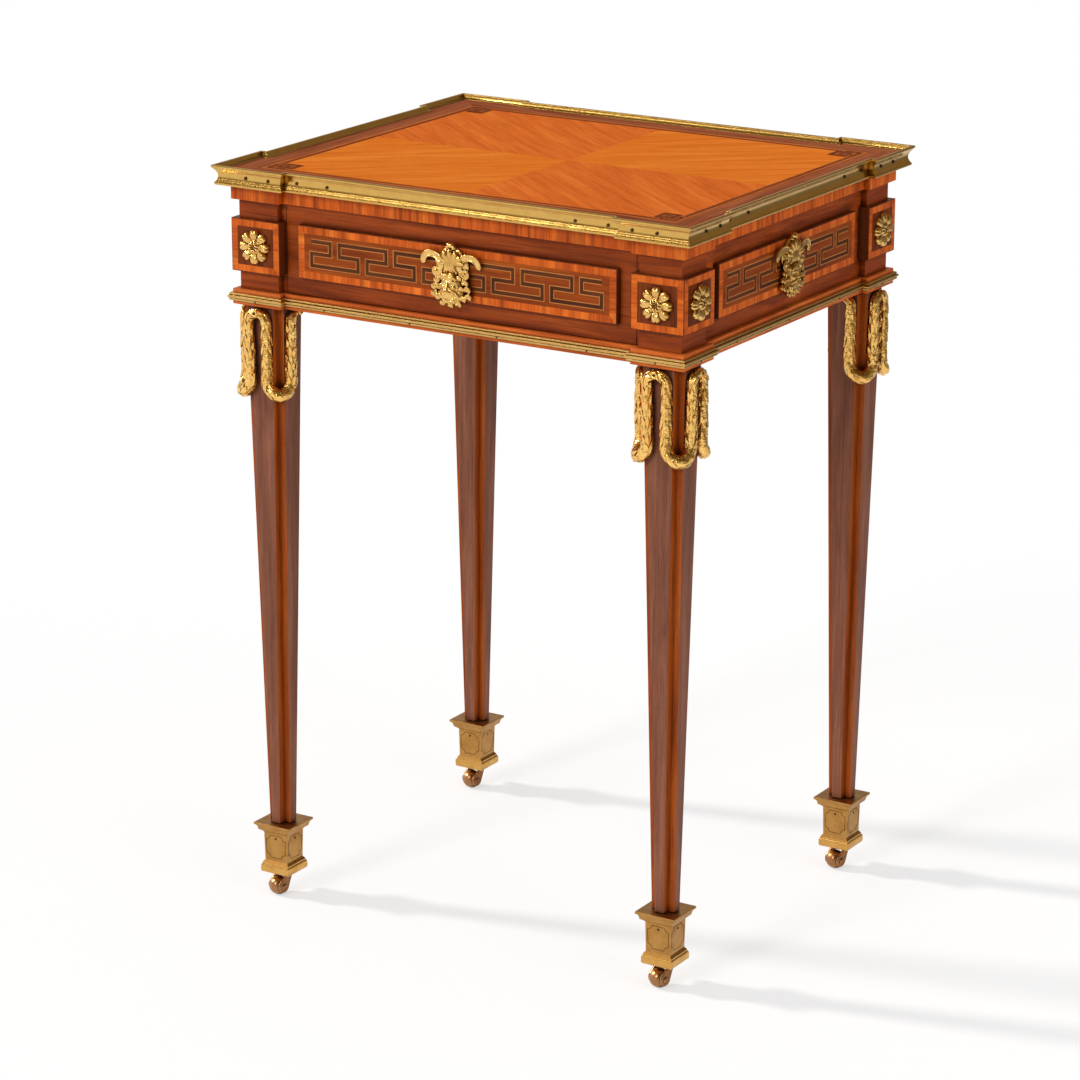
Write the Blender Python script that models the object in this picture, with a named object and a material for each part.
"""Neoclassical occasional table: veneered case on four notched tapering legs, gilt-bronze mounts,
one frieze drawer and four brass casters.

Metres, +Z up. The origin lies on the floor under the middle of the top, and the drawer opens
towards -Y. Every moulding follows one stepped outline, which breaks forward at the four corners.
"""

import math

import bmesh
import bpy
from mathutils import Matrix, Vector

# Case and top
TABLE_HEIGHT = 0.755
CASE_WIDTH = 0.503
CASE_DEPTH = 0.419
CORNER_WIDTH = 0.056
BREAK_DEPTH = 0.0065
POST_INSET = 0.0055
FRIEZE_HEIGHT = 0.0885
CORNICE_HEIGHT = 0.014
BASE_HEIGHT = 0.015
FIT_GAP = 0.0003

# Brass rim round the top
RIM_HEIGHT = 0.020
RIM_OVERHANG = 0.0135
RIM_LIP_HEIGHT = 0.0055
RIM_LIP_WIDTH = 0.0025
RIM_COVE_DEPTH = 0.0042
RIM_FOOT_INSET = 0.0022
BOARD_OVERHANG = 0.007
COVE_STEPS = 5

# Reeded brass band on the base moulding
BAND_HEIGHT = 0.0078
BAND_PROJECTION = 0.0043
BAND_REEDS = 3

# Raised panels and corner blocks
PANEL_HEIGHT = 0.052
PANEL_MARGIN = 0.018
PANEL_THICKNESS = 0.006

# Joinery
RAIL_THICKNESS = 0.016
TENON_LENGTH = 0.018
TENON_THICKNESS = 0.007
TENON_SHOULDER = 0.012
SILL_TENON_SHOULDER = 0.003

# Drawer
DRAWER_CLEARANCE = 0.0006
DRAWER_SIDE_THICKNESS = 0.009
DRAWER_BOTTOM_THICKNESS = 0.005
DRAWER_BOTTOM_LIFT = 0.005
DRAWER_GROOVE_DEPTH = 0.004
DRAWER_SIDE_DROP = 0.004
DRAWER_BACK_SPACE = 0.030
RUNNER_RISE = 0.0035
RUNNER_OVERLAP = 0.012

# Legs
LEG_FOOT_WIDTH = 0.025
LEG_NOTCH = 0.0075
LEG_PEG_WIDTH = 0.016
LEG_PEG_LENGTH = 0.028

# Laurel swags round the legs
SWAG_DROP = 0.087
SWAG_LOOPS = 3
SWAG_RADIUS = 0.0048
SWAG_STRAND_SPREAD = 0.0088
SWAG_SIDES_RESOLUTION = 1
SWAG_SWELL = 1.18
SWAG_HUG_POWER = 4.0
SWAG_START_FACE = {(-1, -1): 1, (1, -1): 2, (1, 1): 3, (-1, 1): 4}

# Sabots
SABOT_HEIGHT = 0.0545
SABOT_PLATE_WIDTH = 0.043
SABOT_PLATE_HEIGHT = 0.0030
SABOT_CORNICE_HEIGHT = 0.0062
SABOT_NECK_WIDTH = 0.0282
SABOT_WAIST_WIDTH = 0.0270
SABOT_BASE_WIDTH = 0.0338
SABOT_BASE_HEIGHT = 0.0150

# Casters
WHEEL_RADIUS = 0.0098
WHEEL_WIDTH = 0.0130
WHEEL_SEGMENTS = 20
WHEEL_SHOULDER_RADIUS = 0.0072
CASTER_TRAIL = 0.0076
CASTER_HEADING = 255.0
CASTER_HEIGHT = 0.024
AXLE_RADIUS = 0.0020
AXLE_HEAD_RADIUS = 0.0034
AXLE_HEAD_HEIGHT = 0.0009
FORK_CHEEK = 0.0021
FORK_CHEEK_RADIUS = 0.0062
FORK_CROWN = 0.0034
SIDE_CLEARANCE = 0.0004
STEM_RADIUS = 0.0035
STEM_LENGTH = 0.019
ROUND_SEGMENTS = 16

# Rosettes
ROSETTE_RADIUS = 0.0168
ROSETTE_PETALS = 8
ROSETTE_HEIGHT = 0.0055

# Mask mounts
MASK_HEIGHT = 0.061
MASK_PLATE_THICKNESS = 0.0048
MASK_HEAD_WIDTH = 0.025
MASK_HEAD_HEIGHT = 0.027
MASK_HEAD_DEPTH = 0.0105
MASK_ARM_RADIUS = 0.0026
MASK_ARM_REACH = 0.026

# Levels, from the floor up
BASE_BOTTOM = TABLE_HEIGHT - RIM_HEIGHT - CORNICE_HEIGHT - FRIEZE_HEIGHT - BASE_HEIGHT
BASE_TOP = BASE_BOTTOM + BASE_HEIGHT
FRIEZE_MIDDLE = BASE_TOP + FRIEZE_HEIGHT / 2
CORNICE_BOTTOM = BASE_TOP + FRIEZE_HEIGHT
BOARD_BOTTOM = CORNICE_BOTTOM + CORNICE_HEIGHT
BOARD_TOP = TABLE_HEIGHT - RIM_LIP_HEIGHT
SABOT_TOP = CASTER_HEIGHT + SABOT_HEIGHT

# Half sizes and planes
HALF_X = CASE_WIDTH / 2
HALF_Y = CASE_DEPTH / 2
POST_WIDTH = CORNER_WIDTH - 2 * POST_INSET
POST_X = HALF_X - POST_INSET
POST_Y = HALF_Y - POST_INSET
GROUND_X = POST_X - BREAK_DEPTH
GROUND_Y = POST_Y - BREAK_DEPTH
LEG_X = POST_X - POST_WIDTH / 2
LEG_Y = POST_Y - POST_WIDTH / 2
CORNERS = {
    "front_left": (-1, -1),
    "front_right": (1, -1),
    "back_left": (-1, 1),
    "back_right": (1, 1),
}

MATERIALS = {
    "purplewood": ((0.16, 0.045, 0.022), 0.32, 0.0),
    "tulipwood": ((0.46, 0.135, 0.035), 0.28, 0.0),
    "gilt_bronze": ((0.72, 0.47, 0.15), 0.30, 1.0),
    "drawer_oak": ((0.42, 0.26, 0.12), 0.55, 0.0),
}


# Mesh helpers


def material(name):
    """The named finish, made on first use."""
    found = bpy.data.materials.get(name)
    if found:
        return found
    colour, roughness, metallic = MATERIALS[name]
    made = bpy.data.materials.new(name)
    made.use_nodes = True
    shader = made.node_tree.nodes["Principled BSDF"]
    shader.inputs["Base Color"].default_value = (*colour, 1.0)
    shader.inputs["Roughness"].default_value = roughness
    shader.inputs["Metallic"].default_value = metallic
    return made


def add_object(name, data, finish):
    obj = bpy.data.objects.new(name, data)
    if finish:
        data.materials.append(material(finish))
    bpy.context.scene.collection.objects.link(obj)
    return obj


def mesh_object(name, bm, finish, smooth=False):
    """A bmesh as an object with its faces pointing out."""
    bmesh.ops.recalc_face_normals(bm, faces=bm.faces)
    data = bpy.data.meshes.new(name)
    bm.to_mesh(data)
    bm.free()
    if smooth:
        data.shade_smooth()
        data.set_sharp_from_angle(angle=math.radians(35))
    return add_object(name, data, finish)


def add_box(bm, low, high):
    """A box between two corners, added to a bmesh."""
    low, high = Vector(low), Vector(high)
    place = Matrix.Translation((low + high) / 2) @ Matrix.Diagonal((*(high - low), 1))
    bmesh.ops.create_cube(bm, size=1.0, matrix=place)


def box(name, low, high, finish):
    bm = bmesh.new()
    add_box(bm, low, high)
    return mesh_object(name, bm, finish)


def loft(bm, rings, closed_path=False):
    """Skins rings that have as many points each; an open path gets end faces."""
    loops = [[bm.verts.new(point) for point in ring] for ring in rings]
    last = len(loops) if closed_path else len(loops) - 1
    for i in range(last):
        lower, upper = loops[i], loops[(i + 1) % len(loops)]
        for j in range(len(lower)):
            k = (j + 1) % len(lower)
            bm.faces.new((lower[j], lower[k], upper[k], upper[j]))
    if not closed_path:
        bm.faces.new(loops[0])
        bm.faces.new(loops[-1])


def lofted(name, rings, finish, closed_path=False, smooth=False):
    bm = bmesh.new()
    loft(bm, rings, closed_path)
    return mesh_object(name, bm, finish, smooth)


def prism(name, outline, low, high, finish):
    """A plan outline raised from one level to another."""
    rings = [[(x, y, z) for x, y in outline] for z in (low, high)]
    return lofted(name, rings, finish)


def helper(obj):
    """Marks an object as a tool for Booleans, which isn't a piece."""
    obj.hide_render = True
    obj.display_type = "WIRE"
    return obj


def combine(obj, other, operation):
    """Applies a Boolean with a helper, then removes the helper."""
    helper(other)
    modifier = obj.modifiers.new(operation.lower(), "BOOLEAN")
    modifier.operation = operation
    modifier.solver = "EXACT"
    modifier.object = other
    bpy.context.view_layer.update()
    graph = bpy.context.evaluated_depsgraph_get()
    merged = bpy.data.meshes.new_from_object(obj.evaluated_get(graph))
    merged.name = obj.data.name
    obj.modifiers.clear()
    obj.data = merged
    bpy.data.objects.remove(other)
    return obj


def circle(radius, count, turn=0.0):
    """Points round a circle, from the given share of a step."""
    angles = [2 * math.pi * (i + turn) / count for i in range(count)]
    return [(radius * math.cos(a), radius * math.sin(a)) for a in angles]


def cylinder(name, radius, low, high, x=0.0, y=0.0):
    outline = [(x + u, y + v) for u, v in circle(radius, ROUND_SEGMENTS)]
    return prism(name, outline, low, high, None)


# The stepped outline that every moulding follows


def stepped_outline(offset):
    """Plan points of the case outline, grown by an offset, anticlockwise from the front."""
    quarter = [
        (HALF_X - CORNER_WIDTH - offset, HALF_Y - BREAK_DEPTH + offset),
        (HALF_X - CORNER_WIDTH - offset, HALF_Y + offset),
        (HALF_X + offset, HALF_Y + offset),
        (HALF_X + offset, HALF_Y - CORNER_WIDTH - offset),
        (HALF_X - BREAK_DEPTH + offset, HALF_Y - CORNER_WIDTH - offset),
    ]
    points = [(x, -y) for x, y in quarter]
    points += [(x, y) for x, y in reversed(quarter)]
    points += [(-x, y) for x, y in quarter]
    points += [(-x, -y) for x, y in reversed(quarter)]
    return points


def moulding(name, profile, finish):
    """A closed profile of (offset, level) points run round the stepped outline."""
    rings = [[(x, y, level) for x, y in stepped_outline(offset)] for offset, level in profile]
    return lofted(name, rings, finish, closed_path=True)


# Top


def rim_profile():
    """Rounded lip, deep cove and foot of the brass rim, outside first."""
    lip, foot = RIM_OVERHANG, RIM_OVERHANG - RIM_FOOT_INSET
    top, bottom = TABLE_HEIGHT, BOARD_BOTTOM + FIT_GAP
    lip_edge = top - RIM_LIP_WIDTH
    foot_edge = bottom + RIM_LIP_WIDTH
    inner = BOARD_OVERHANG + FIT_GAP
    outside = [(lip - RIM_LIP_WIDTH, top), (lip, top), (lip, lip_edge)]
    for i in range(1, COVE_STEPS):
        share = i / COVE_STEPS
        chord = lip + (foot - lip) * share
        hollow = RIM_COVE_DEPTH * math.sin(math.pi * share)
        outside.append((chord - hollow, lip_edge + (foot_edge - lip_edge) * share))
    outside += [(foot, foot_edge), (foot, bottom)]
    return outside + [(inner, bottom), (inner, BOARD_TOP)]


def make_top():
    """Veneered board, the cornice under it and the brass rim on its edge."""
    prism("cornice", stepped_outline(0.0), CORNICE_BOTTOM, BOARD_BOTTOM, "tulipwood")
    board_outline = stepped_outline(BOARD_OVERHANG)
    prism("top_board", board_outline, BOARD_BOTTOM + FIT_GAP, BOARD_TOP, "tulipwood")
    moulding("top_rim", rim_profile(), "gilt_bronze")


# Base moulding


def band_profile():
    """Reeds of the brass band, standing out most in the middle."""
    middle = BASE_BOTTOM + BASE_HEIGHT / 2
    low = middle - BAND_HEIGHT / 2
    reed = BAND_HEIGHT / BAND_REEDS
    points = [(FIT_GAP, low)]
    for i in range(BAND_REEDS):
        away = abs(i - (BAND_REEDS - 1) / 2) / BAND_REEDS
        crown = BAND_PROJECTION * (1 - away)
        quirk = crown * 0.62
        points += [
            (quirk, low + reed * (i + 0.06)),
            (crown, low + reed * (i + 0.32)),
            (crown, low + reed * (i + 0.68)),
            (quirk, low + reed * (i + 0.94)),
        ]
    return points + [(FIT_GAP, low + BAND_HEIGHT)]


def make_base():
    inner = FIT_GAP - POST_INSET
    section = [(0.0, BASE_BOTTOM), (0.0, BASE_TOP), (inner, BASE_TOP), (inner, BASE_BOTTOM)]
    moulding("base_moulding", section, "tulipwood")
    moulding("base_brass_band", band_profile(), "gilt_bronze")


# Legs and rails


def notched_square(x, y, width, notch):
    """A square with its four corners cut back to a step."""
    half = width / 2
    near = half - notch
    corner = [(half, near), (near, near), (near, half)]
    points = list(corner)
    points += [(-u, v) for u, v in reversed(corner)]
    points += [(-u, -v) for u, v in corner]
    points += [(u, -v) for u, v in reversed(corner)]
    return [(x + u, y + v) for u, v in points]


def leg_width(level):
    """Width of the tapering shaft at a height."""
    share = (level - SABOT_TOP) / (BASE_BOTTOM - SABOT_TOP)
    return LEG_FOOT_WIDTH + (POST_WIDTH - LEG_FOOT_WIDTH) * share


def tenon_levels():
    return BASE_BOTTOM + TENON_SHOULDER, CORNICE_BOTTOM - TENON_SHOULDER


def make_leg(corner, side_x, side_y):
    """Post, notched shaft and foot peg in one piece, mortised for the two rails it carries."""
    x, y = side_x * LEG_X, side_y * LEG_Y
    half = POST_WIDTH / 2
    post_top = CORNICE_BOTTOM - FIT_GAP
    name = f"leg_{corner}"
    leg = box(name, (x - half, y - half, BASE_BOTTOM), (x + half, y + half, post_top), "purplewood")
    shaft_top = BASE_BOTTOM + TENON_SHOULDER / 4
    rings = []
    for level, width in ((SABOT_TOP + FIT_GAP, LEG_FOOT_WIDTH), (shaft_top, POST_WIDTH - FIT_GAP)):
        rings.append([(u, v, level) for u, v in notched_square(x, y, width, LEG_NOTCH)])
    combine(leg, lofted("shaft", rings, None), "UNION")
    peg = LEG_PEG_WIDTH / 2
    peg_low = SABOT_TOP - LEG_PEG_LENGTH
    foot = box("peg", (x - peg, y - peg, peg_low), (x + peg, y + peg, SABOT_TOP + peg), None)
    combine(leg, foot, "UNION")
    for mortise in mortises(side_x, side_y):
        combine(leg, mortise, "DIFFERENCE")
    leg.data.materials.clear()
    leg.data.materials.append(material("purplewood"))


def mortises(side_x, side_y):
    """Cutters for the side rail's tenon and, at the back, the back rail's; the front has a sill."""
    low, high = tenon_levels()
    reach = TENON_LENGTH + 2 * FIT_GAP
    slack = TENON_THICKNESS / 2 + FIT_GAP
    inner_x, inner_y = POST_X - POST_WIDTH, POST_Y - POST_WIDTH
    middle_x = side_x * (GROUND_X - RAIL_THICKNESS / 2)
    ends = sorted((side_y * (inner_y - reach), side_y * (inner_y + reach)))
    yield box(
        "mortise",
        (middle_x - slack, ends[0], low - FIT_GAP),
        (middle_x + slack, ends[1], high + FIT_GAP),
        None,
    )
    middle_y = side_y * (GROUND_Y - RAIL_THICKNESS / 2)
    ends = sorted((side_x * (inner_x - reach), side_x * (inner_x + reach)))
    top = high if side_y > 0 else BASE_TOP - FIT_GAP
    base = low if side_y > 0 else BASE_BOTTOM + FIT_GAP + SILL_TENON_SHOULDER
    yield box(
        "mortise",
        (ends[0], middle_y - slack, base - FIT_GAP),
        (ends[1], middle_y + slack, top + FIT_GAP),
        None,
    )


def make_side_rails():
    low, high = BASE_BOTTOM + FIT_GAP, CORNICE_BOTTOM - FIT_GAP
    tenon_low, tenon_high = tenon_levels()
    length = POST_Y - POST_WIDTH - FIT_GAP
    for name, side in (("rail_left", -1), ("rail_right", 1)):
        outer, inner = side * GROUND_X, side * (GROUND_X - RAIL_THICKNESS)
        x0, x1 = sorted((outer, inner))
        rail = box(name, (x0, -length, low), (x1, length, high), "purplewood")
        middle, half = (x0 + x1) / 2, TENON_THICKNESS / 2
        reach = length + TENON_LENGTH
        tongue = box(
            "tenon", (middle - half, -reach, tenon_low), (middle + half, reach, tenon_high), None
        )
        combine(rail, tongue, "UNION")


def make_back_rail():
    low, high = BASE_BOTTOM + FIT_GAP, CORNICE_BOTTOM - FIT_GAP
    tenon_low, tenon_high = tenon_levels()
    length = POST_X - POST_WIDTH - FIT_GAP
    y0, y1 = GROUND_Y - RAIL_THICKNESS, GROUND_Y
    rail = box("rail_back", (-length, y0, low), (length, y1, high), "purplewood")
    middle, half = (y0 + y1) / 2, TENON_THICKNESS / 2
    reach = length + TENON_LENGTH
    tongue = box(
        "tenon", (-reach, middle - half, tenon_low), (reach, middle + half, tenon_high), None
    )
    combine(rail, tongue, "UNION")


def drawer_opening():
    """Half width of the drawer opening, which clears the corner blocks."""
    return HALF_X - CORNER_WIDTH - FIT_GAP


def make_drawer_surround():
    """Front sill with a slim stile at each end, open to the cornice above."""
    length = POST_X - POST_WIDTH - FIT_GAP
    low, top = BASE_BOTTOM + FIT_GAP, CORNICE_BOTTOM - FIT_GAP
    sill, inner = BASE_TOP, drawer_opening()
    outline = [
        (-length, low),
        (length, low),
        (length, top),
        (inner, top),
        (inner, sill),
        (-inner, sill),
        (-inner, top),
        (-length, top),
    ]
    planes = (-GROUND_Y, RAIL_THICKNESS - GROUND_Y)
    rings = [[(x, y, z) for x, z in outline] for y in planes]
    surround = lofted("drawer_surround", rings, "purplewood")
    middle, half = sum(planes) / 2, TENON_THICKNESS / 2
    reach = length + TENON_LENGTH
    tongue_low = low + SILL_TENON_SHOULDER
    tongue_high = sill - FIT_GAP
    tongue = box(
        "tenon", (-reach, middle - half, tongue_low), (reach, middle + half, tongue_high), None
    )
    combine(surround, tongue, "UNION")


def make_runners():
    outer = POST_X - POST_WIDTH - FIT_GAP
    inner = drawer_opening() - RUNNER_OVERLAP
    reach = GROUND_Y - RAIL_THICKNESS - FIT_GAP
    low, high = BASE_BOTTOM + FIT_GAP, BASE_TOP + RUNNER_RISE
    for name, side in (("drawer_runner_left", -1), ("drawer_runner_right", 1)):
        x0, x1 = sorted((side * outer, side * inner))
        box(name, (x0, -reach, low), (x1, reach, high), "drawer_oak")


# Raised panels, corner blocks, rosettes


def panel_levels():
    return FRIEZE_MIDDLE - PANEL_HEIGHT / 2, FRIEZE_MIDDLE + PANEL_HEIGHT / 2


def make_panels():
    """One raised panel in the middle of each side; the front one belongs to the drawer."""
    low, high = panel_levels()
    reach_x = HALF_X - CORNER_WIDTH - PANEL_MARGIN
    reach_y = HALF_Y - CORNER_WIDTH - PANEL_MARGIN
    for name, side in (("panel_front", -1), ("panel_back", 1)):
        seat = side * (GROUND_Y + FIT_GAP)
        y0, y1 = sorted((seat, seat + side * PANEL_THICKNESS))
        box(name, (-reach_x, y0, low), (reach_x, y1, high), "tulipwood")
    for name, side in (("panel_left", -1), ("panel_right", 1)):
        seat = side * (GROUND_X + FIT_GAP)
        x0, x1 = sorted((seat, seat + side * PANEL_THICKNESS))
        box(name, (x0, -reach_y, low), (x1, reach_y, high), "tulipwood")


def make_corner_block(corner, side_x, side_y):
    """A raised block that wraps the two outer faces of a post and returns to the ground."""
    skin = POST_INSET - FIT_GAP
    back = POST_INSET + BREAK_DEPTH - FIT_GAP
    inner = CORNER_WIDTH - skin
    inward = [
        (0, 0),
        (CORNER_WIDTH, 0),
        (CORNER_WIDTH, back),
        (inner, back),
        (inner, skin),
        (skin, skin),
        (skin, inner),
        (back, inner),
        (back, CORNER_WIDTH),
        (0, CORNER_WIDTH),
    ]
    outline = [(side_x * (HALF_X - u), side_y * (HALF_Y - v)) for u, v in inward]
    prism(f"corner_block_{corner}", outline, *panel_levels(), "tulipwood")


def rosette_rings():
    """A flower of rounded petals round a domed eye, facing +Z."""
    step = 2 * math.pi / ROSETTE_PETALS
    levels = (
        (1.00, 0.0, 0.16),
        (1.00, 0.35, 0.16),
        (0.86, 0.72, 0.10),
        (0.42, 0.40, 0.0),
        (0.30, 0.85, 0.0),
        (0.14, 1.00, 0.0),
    )
    for size, rise, lobe in levels:
        ring = []
        for i in range(ROSETTE_PETALS):
            shoulder = 1.0 - lobe / 2
            for part, reach in ((0, 1), (0.3, shoulder), (0.5, 1 - 2 * lobe), (0.7, shoulder)):
                angle = (i + part) * step
                radius = ROSETTE_RADIUS * size * reach
                across, up = radius * math.cos(angle), radius * math.sin(angle)
                ring.append((across, up, rise * ROSETTE_HEIGHT))
        yield ring


def facing(side, along_x, plane):
    """Places a piece modelled on z = 0 so that it faces out of a side of the case."""
    if along_x:
        turn = Matrix(((0, 0, side), (side, 0, 0), (0, 1, 0))).to_4x4()
        return Matrix.Translation((side * plane, 0, 0)) @ turn
    turn = Matrix(((-side, 0, 0), (0, 0, side), (0, 1, 0))).to_4x4()
    return Matrix.Translation((0, side * plane, 0)) @ turn


def make_rosettes(corner, side_x, side_y):
    """Two rosettes, one on each outer face of the corner block."""
    centre_x = side_x * (HALF_X - CORNER_WIDTH / 2)
    centre_y = side_y * (HALF_Y - CORNER_WIDTH / 2)
    places = (
        ("end", facing(side_x, True, HALF_X + FIT_GAP), (0, centre_y, FRIEZE_MIDDLE)),
        ("long", facing(side_y, False, HALF_Y + FIT_GAP), (centre_x, 0, FRIEZE_MIDDLE)),
    )
    for face, turn, centre in places:
        flower = lofted(f"rosette_{corner}_{face}", list(rosette_rings()), "gilt_bronze", smooth=True)
        flower.data.transform(Matrix.Translation(centre) @ turn)


# Mask mounts


def mask_outline():
    """Right half of the mount's silhouette, from the leaf's tip down to the beard's tip."""
    leaf_tip = MASK_HEIGHT * 0.5
    width = MASK_HEAD_WIDTH
    return [
        (0.0, leaf_tip),
        (width * 0.13, leaf_tip * 0.94),
        (width * 0.40, leaf_tip * 0.78),
        (width * 0.47, leaf_tip * 0.52),
        (width * 0.30, leaf_tip * 0.22),
        (width * 0.26, leaf_tip * 0.02),
        (width * 0.55, -leaf_tip * 0.04),
        (width * 0.62, -leaf_tip * 0.22),
        (width * 0.70, -leaf_tip * 0.40),
        (width * 0.74, -leaf_tip * 0.62),
        (width * 0.62, -leaf_tip * 0.80),
        (width * 0.30, -leaf_tip * 0.94),
        (0.0, -leaf_tip),
    ]


def tube_rings(points, radius, count):
    """Rings of a round bar along a path, square to it."""
    rings = []
    for i, point in enumerate(points):
        before, after = points[max(i - 1, 0)], points[min(i + 1, len(points) - 1)]
        ahead = (after - before).normalized()
        across = ahead.cross(Vector((0, 0, 1))).normalized()
        up = across.cross(ahead)
        rings.append([point + u * across + v * up for u, v in circle(radius, count)])
    return rings


def arm_path(side):
    """An arm that leaves the leaf's stem, arches over and curls down clear of the panel."""
    arch = MASK_ARM_REACH / 2
    points = []
    for i in range(9):
        angle = math.radians(200 - 25 * i)
        across = MASK_ARM_REACH / 2 + arch * 0.82 * math.cos(angle)
        rise = MASK_HEIGHT * 0.13 + arch * 0.62 * math.sin(angle)
        lift = MASK_PLATE_THICKNESS * (0.9 + 0.12 * i)
        points.append(Vector((side * across, rise, lift)))
    return points


def make_mask(name, side, along_x, plane):
    """Leafy plate with a head in relief and two scrolling arms, in one casting."""
    half = mask_outline()
    outline = half + [(-x, y) for x, y in reversed(half[1:-1])]
    edge = 0.88
    rings = [
        [(x, y, 0.0) for x, y in outline],
        [(x, y, MASK_PLATE_THICKNESS * 0.6) for x, y in outline],
        [(x * edge, y * edge, MASK_PLATE_THICKNESS) for x, y in outline],
    ]
    mount = lofted(name, rings, "gilt_bronze")
    bm = bmesh.new()
    bmesh.ops.create_uvsphere(bm, u_segments=14, v_segments=9, radius=0.5)
    size = (MASK_HEAD_WIDTH, MASK_HEAD_HEIGHT, 2 * MASK_HEAD_DEPTH)
    centre = (0, -MASK_HEIGHT * 0.24, MASK_PLATE_THICKNESS * 0.45)
    bm.transform(Matrix.Translation(centre) @ Matrix.Diagonal((*size, 1)))
    below = [v for v in bm.verts if v.co.z < MASK_PLATE_THICKNESS * 0.4]
    for vert in below:
        vert.co.z = MASK_PLATE_THICKNESS * 0.2 + vert.co.z * 0.02
    combine(mount, mesh_object("head", bm, None), "UNION")
    for hand in (-1, 1):
        arm = lofted("arm", tube_rings(arm_path(hand), MASK_ARM_RADIUS, 8), None)
        combine(mount, arm, "UNION")
    mount.data.materials.clear()
    mount.data.materials.append(material("gilt_bronze"))
    mount.data.transform(Matrix.Translation((0, 0, FRIEZE_MIDDLE)) @ facing(side, along_x, plane))


def make_masks():
    proud = PANEL_THICKNESS + 2 * FIT_GAP
    make_mask("mask_front", -1, False, GROUND_Y + proud)
    make_mask("mask_back", 1, False, GROUND_Y + proud)
    make_mask("mask_left", -1, True, GROUND_X + proud)
    make_mask("mask_right", 1, True, GROUND_X + proud)


# Drawer


def make_drawer():
    """Front, dovetailed sides and back, and a bottom held in grooves."""
    opening = drawer_opening() - DRAWER_CLEARANCE
    low = BASE_TOP + DRAWER_CLEARANCE
    high = CORNICE_BOTTOM - DRAWER_CLEARANCE - FIT_GAP
    front_back = RAIL_THICKNESS - FIT_GAP - GROUND_Y
    box("drawer_front", (-opening, -GROUND_Y, low), (opening, front_back, high), "purplewood")

    side_low = BASE_TOP + RUNNER_RISE + FIT_GAP
    side_high = high - DRAWER_SIDE_DROP
    side_front = front_back + FIT_GAP
    side_back = GROUND_Y - RAIL_THICKNESS - DRAWER_BACK_SPACE
    outer = opening - FIT_GAP
    inner = outer - DRAWER_SIDE_THICKNESS
    floor = side_low + DRAWER_BOTTOM_LIFT
    groove_low = floor - FIT_GAP
    groove_high = floor + DRAWER_BOTTOM_THICKNESS + FIT_GAP
    back_front = side_back - DRAWER_SIDE_THICKNESS
    for name, side in (("drawer_side_left", -1), ("drawer_side_right", 1)):
        x0, x1 = sorted((side * outer, side * inner))
        board = box(name, (x0, side_front, side_low), (x1, side_back, side_high), "drawer_oak")
        depth = side * (inner + DRAWER_GROOVE_DEPTH)
        g0, g1 = sorted((depth, side * (inner - DRAWER_GROOVE_DEPTH)))
        groove = box(
            "groove",
            (g0, side_front - DRAWER_GROOVE_DEPTH, groove_low),
            (g1, side_back + DRAWER_GROOVE_DEPTH, groove_high),
            None,
        )
        combine(board, groove, "DIFFERENCE")
    span = inner - FIT_GAP
    back_low = groove_high
    box("drawer_back", (-span, back_front, back_low), (span, side_back, side_high), "drawer_oak")
    reach = inner + DRAWER_GROOVE_DEPTH - FIT_GAP
    box(
        "drawer_bottom",
        (-reach, side_front, floor),
        (reach, side_back, floor + DRAWER_BOTTOM_THICKNESS),
        "drawer_oak",
    )


# Laurel swags


def swag_station(position, level):
    """A point round the leg: position counts the faces, 4 to a turn, from +X anticlockwise."""
    reach = leg_width(level) / 2 + SWAG_RADIUS * SWAG_SWELL + FIT_GAP
    face = round(position)
    angle = math.radians(90) * face + math.atan((position - face) * 2)
    direction = Vector((math.cos(angle), math.sin(angle)))
    norm = (abs(direction.x) ** SWAG_HUG_POWER + abs(direction.y) ** SWAG_HUG_POWER) ** (1 / SWAG_HUG_POWER)
    return Vector((*(direction * reach / norm), level))


def swag_points(start_face):
    """Three hanging loops, each from the middle of one face round a corner to the next face."""
    top = BASE_BOTTOM - FIT_GAP - SWAG_RADIUS * 1.3
    strand = SWAG_STRAND_SPREAD / POST_WIDTH
    loop_radius = (0.5 - strand) * POST_WIDTH
    bend = top - SWAG_DROP + loop_radius + SWAG_RADIUS * SWAG_SWELL
    for loop in range(start_face, start_face + SWAG_LOOPS):
        path = [(0.0, top, 0.78), (strand * 0.75, top - SWAG_STRAND_SPREAD * 0.35, 0.84)]
        for share in (0.12, 0.4, 0.7):
            path.append((strand, top + (bend - top) * share, 0.86 + 0.2 * share))
        half_turn = [math.radians(a) for a in (0, 30, 60)]
        for angle in half_turn:
            across = 0.5 - (0.5 - strand) * math.cos(angle)
            path.append((across, bend - loop_radius * math.sin(angle), SWAG_SWELL))
        bottom = (0.5, bend - loop_radius, SWAG_SWELL)
        mirrored = [(1.0 - across, level, size) for across, level, size in reversed(path[1:])]
        for across, level, size in [*path, bottom, *mirrored]:
            yield swag_station(loop + across, level), size
    yield swag_station(start_face + SWAG_LOOPS, top), 0.78


def make_swag(corner, side_x, side_y):
    """A laurel rope round the head of a leg; the corner inside the table stays bare."""
    curve = bpy.data.curves.new(f"swag_{corner}", "CURVE")
    curve.dimensions = "3D"
    curve.bevel_depth = SWAG_RADIUS
    curve.bevel_resolution = SWAG_SIDES_RESOLUTION
    curve.twist_mode = "MINIMUM"
    curve.use_fill_caps = True
    stations = list(swag_points(SWAG_START_FACE[side_x, side_y]))
    spline = curve.splines.new("POLY")
    spline.points.add(len(stations) - 1)
    for target, (place, size) in zip(spline.points, stations):
        target.co = (*place, 1.0)
        target.radius = size
    swag = add_object(f"swag_{corner}", curve, "gilt_bronze")
    swag.location = (side_x * LEG_X, side_y * LEG_Y, 0)


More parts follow.
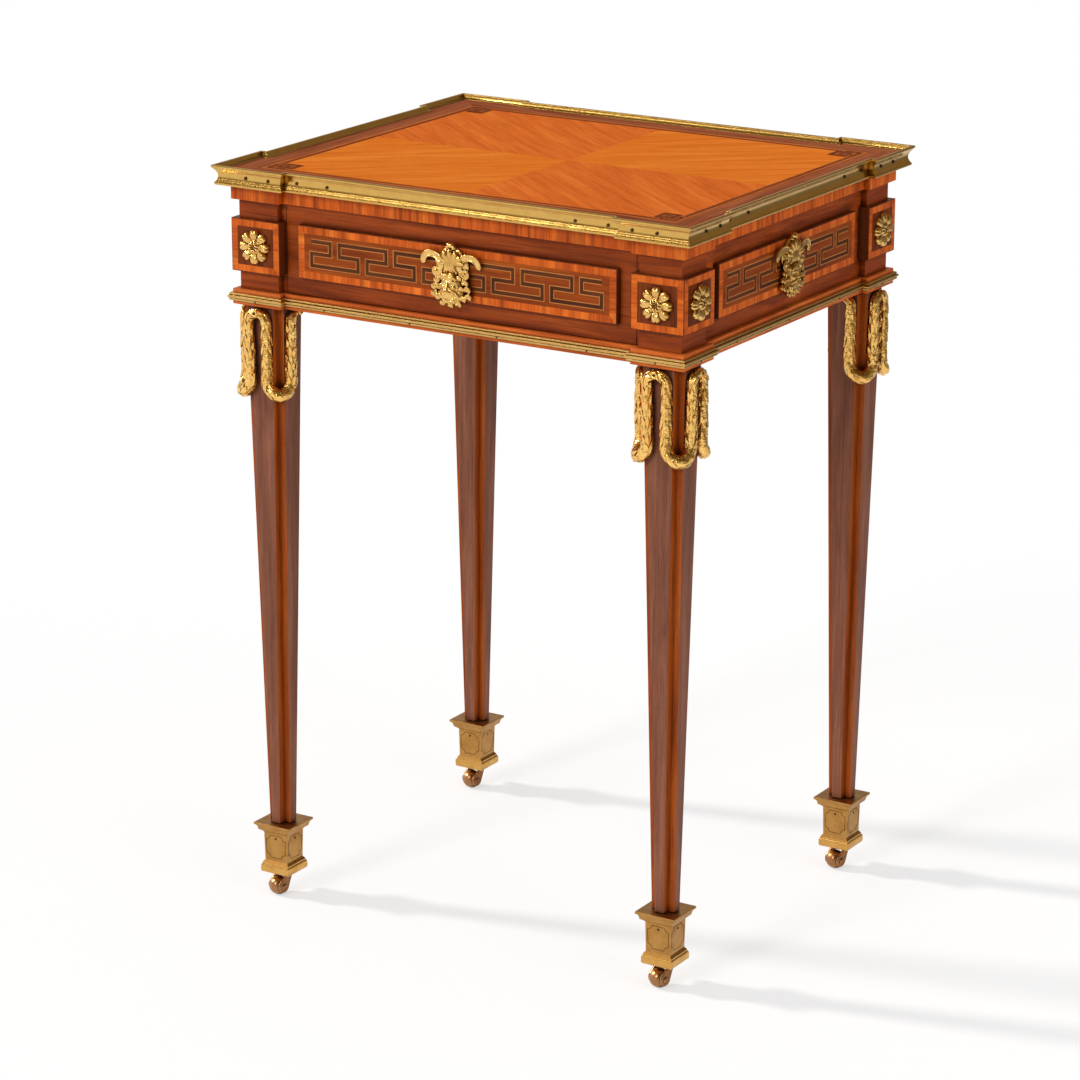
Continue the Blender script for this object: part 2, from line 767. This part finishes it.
# Sabots and casters


def square_ring(x, y, width, level):
    half = width / 2
    return [(x + u * half, y + v * half, level) for u, v in ((1, 1), (-1, 1), (-1, -1), (1, -1))]


def sabot_profile():
    """(width, level) from the sole up: torus base, panelled body, cornice and plate."""
    low, top = CASTER_HEIGHT, SABOT_TOP
    base = low + SABOT_BASE_HEIGHT
    plate = top - SABOT_PLATE_HEIGHT
    neck = plate - SABOT_CORNICE_HEIGHT
    step = (SABOT_BASE_WIDTH - SABOT_WAIST_WIDTH) / 4
    flare = (SABOT_PLATE_WIDTH - SABOT_NECK_WIDTH) / 4
    return [
        (SABOT_BASE_WIDTH - 2 * step, low),
        (SABOT_BASE_WIDTH, low + SABOT_BASE_HEIGHT * 0.16),
        (SABOT_BASE_WIDTH, low + SABOT_BASE_HEIGHT * 0.50),
        (SABOT_BASE_WIDTH - step, low + SABOT_BASE_HEIGHT * 0.64),
        (SABOT_BASE_WIDTH - 1.6 * step, low + SABOT_BASE_HEIGHT * 0.68),
        (SABOT_BASE_WIDTH - 2 * step, low + SABOT_BASE_HEIGHT * 0.86),
        (SABOT_WAIST_WIDTH, base),
        (SABOT_NECK_WIDTH, neck),
        (SABOT_NECK_WIDTH + flare, neck + (plate - neck) * 0.35),
        (SABOT_NECK_WIDTH + 2.4 * flare, neck + (plate - neck) * 0.75),
        (SABOT_PLATE_WIDTH - flare, plate),
        (SABOT_PLATE_WIDTH, plate + SABOT_PLATE_HEIGHT * 0.2),
        (SABOT_PLATE_WIDTH, top),
    ]


def make_sabot(corner, side_x, side_y):
    """Cast foot that takes the leg's peg above and the caster's stem below."""
    x, y = side_x * LEG_X, side_y * LEG_Y
    rings = [square_ring(x, y, width, level) for width, level in sabot_profile()]
    sabot = lofted(f"sabot_{corner}", rings, "gilt_bronze")
    peg = LEG_PEG_WIDTH / 2 + FIT_GAP
    socket_floor = SABOT_TOP - LEG_PEG_LENGTH - FIT_GAP
    socket = box("socket", (x - peg, y - peg, socket_floor), (x + peg, y + peg, SABOT_TOP + peg), None)
    combine(sabot, socket, "DIFFERENCE")
    bore_top = CASTER_HEIGHT + STEM_LENGTH - FORK_CROWN + 2 * FIT_GAP
    bore = cylinder("bore", STEM_RADIUS + FIT_GAP, CASTER_HEIGHT - STEM_RADIUS, bore_top, x, y)
    combine(sabot, bore, "DIFFERENCE")


def caster_place(side_x, side_y):
    """The caster's own axes: x trails, y lies along the axle, z is up, on the stem's line."""
    heading = Matrix.Rotation(math.radians(CASTER_HEADING), 4, "Z")
    return Matrix.Translation((side_x * LEG_X, side_y * LEG_Y, 0)) @ heading


def wheel_height():
    """Height of the wheel's middle when one of its facets lies on the floor."""
    return WHEEL_RADIUS * math.cos(math.pi / WHEEL_SEGMENTS)


def turned(name, profile, segments, finish, closed=False):
    """A profile of (distance along the axle, radius) turned about the axle."""
    rings = []
    for along, radius in profile:
        ring = circle(radius, segments, turn=0.5)
        rings.append([(CASTER_TRAIL + v, along, wheel_height() + u) for u, v in ring])
    return lofted(name, rings, finish, closed_path=closed, smooth=True)


def make_wheel(corner, side_x, side_y):
    half = WHEEL_WIDTH / 2
    bore = AXLE_RADIUS + FIT_GAP
    shoulder = (WHEEL_RADIUS + WHEEL_SHOULDER_RADIUS) / 2
    profile = [
        (-half, bore),
        (-half, WHEEL_SHOULDER_RADIUS),
        (-half * 0.72, shoulder + (WHEEL_RADIUS - shoulder) * 0.55),
        (-half * 0.30, WHEEL_RADIUS),
        (half * 0.30, WHEEL_RADIUS),
        (half * 0.72, shoulder + (WHEEL_RADIUS - shoulder) * 0.55),
        (half, WHEEL_SHOULDER_RADIUS),
        (half, bore),
    ]
    wheel = turned(f"caster_wheel_{corner}", profile, WHEEL_SEGMENTS, "gilt_bronze", closed=True)
    wheel.matrix_world = caster_place(side_x, side_y)


def make_axle(corner, side_x, side_y):
    """Riveted pin through both cheeks, with a head outside each."""
    face = WHEEL_WIDTH / 2 + SIDE_CLEARANCE + FORK_CHEEK + FIT_GAP
    end = face + AXLE_HEAD_HEIGHT
    profile = [
        (-end, AXLE_HEAD_RADIUS * 0.7),
        (-face, AXLE_HEAD_RADIUS),
        (-face, AXLE_RADIUS),
        (face, AXLE_RADIUS),
        (face, AXLE_HEAD_RADIUS),
        (end, AXLE_HEAD_RADIUS * 0.7),
    ]
    axle = turned(f"caster_axle_{corner}", profile, ROUND_SEGMENTS, "gilt_bronze")
    axle.matrix_world = caster_place(side_x, side_y)


def cheek_outline():
    """Side view of one cheek: a disc round the axle that grows up into the crown."""
    crown_top = CASTER_HEIGHT - SIDE_CLEARANCE
    crown_low = crown_top - FORK_CROWN
    middle = wheel_height()
    points = []
    for i in range(9):
        angle = math.radians(170 + 25 * i)
        along = CASTER_TRAIL + FORK_CHEEK_RADIUS * math.cos(angle)
        points.append((along, middle + FORK_CHEEK_RADIUS * math.sin(angle)))
    stem = STEM_RADIUS * 1.6
    return points + [(stem, crown_low), (stem, crown_top), (-stem, crown_top), (-stem, crown_low)]


def make_fork(corner, side_x, side_y):
    """Crown over the wheel, a cheek on each side of it and the swivel stem, in one casting."""
    inside = WHEEL_WIDTH / 2 + SIDE_CLEARANCE
    outside = inside + FORK_CHEEK
    crown_top = CASTER_HEIGHT - SIDE_CLEARANCE
    stem = STEM_RADIUS * 1.6
    crown_low = crown_top - FORK_CROWN
    fork = box(
        f"caster_fork_{corner}",
        (-stem * 0.9, -inside - FORK_CHEEK / 2, crown_low + FIT_GAP),
        (stem * 0.9, inside + FORK_CHEEK / 2, crown_top - FIT_GAP),
        "gilt_bronze",
    )
    for low, high in ((-outside, -inside), (inside, outside)):
        rings = [[(u, y, z) for u, z in cheek_outline()] for y in (low, high)]
        combine(fork, lofted("cheek", rings, None), "UNION")
    stem_top = crown_low + STEM_LENGTH
    combine(fork, cylinder("stem", STEM_RADIUS, crown_low + FORK_CROWN / 2, stem_top), "UNION")
    hole = turned(
        "hole",
        [(-2 * outside, AXLE_RADIUS + FIT_GAP), (2 * outside, AXLE_RADIUS + FIT_GAP)],
        ROUND_SEGMENTS,
        None,
    )
    combine(fork, hole, "DIFFERENCE")
    fork.data.materials.clear()
    fork.data.materials.append(material("gilt_bronze"))
    fork.matrix_world = caster_place(side_x, side_y)


def clear_scene():
    for obj in list(bpy.data.objects):
        bpy.data.objects.remove(obj, do_unlink=True)


def main():
    clear_scene()
    make_top()
    make_base()
    make_side_rails()
    make_back_rail()
    make_drawer_surround()
    make_runners()
    make_panels()
    make_masks()
    make_drawer()
    for corner, (side_x, side_y) in CORNERS.items():
        make_leg(corner, side_x, side_y)
        make_corner_block(corner, side_x, side_y)
        make_rosettes(corner, side_x, side_y)
        make_swag(corner, side_x, side_y)
        make_sabot(corner, side_x, side_y)
        make_fork(corner, side_x, side_y)
        make_axle(corner, side_x, side_y)
        make_wheel(corner, side_x, side_y)


main()
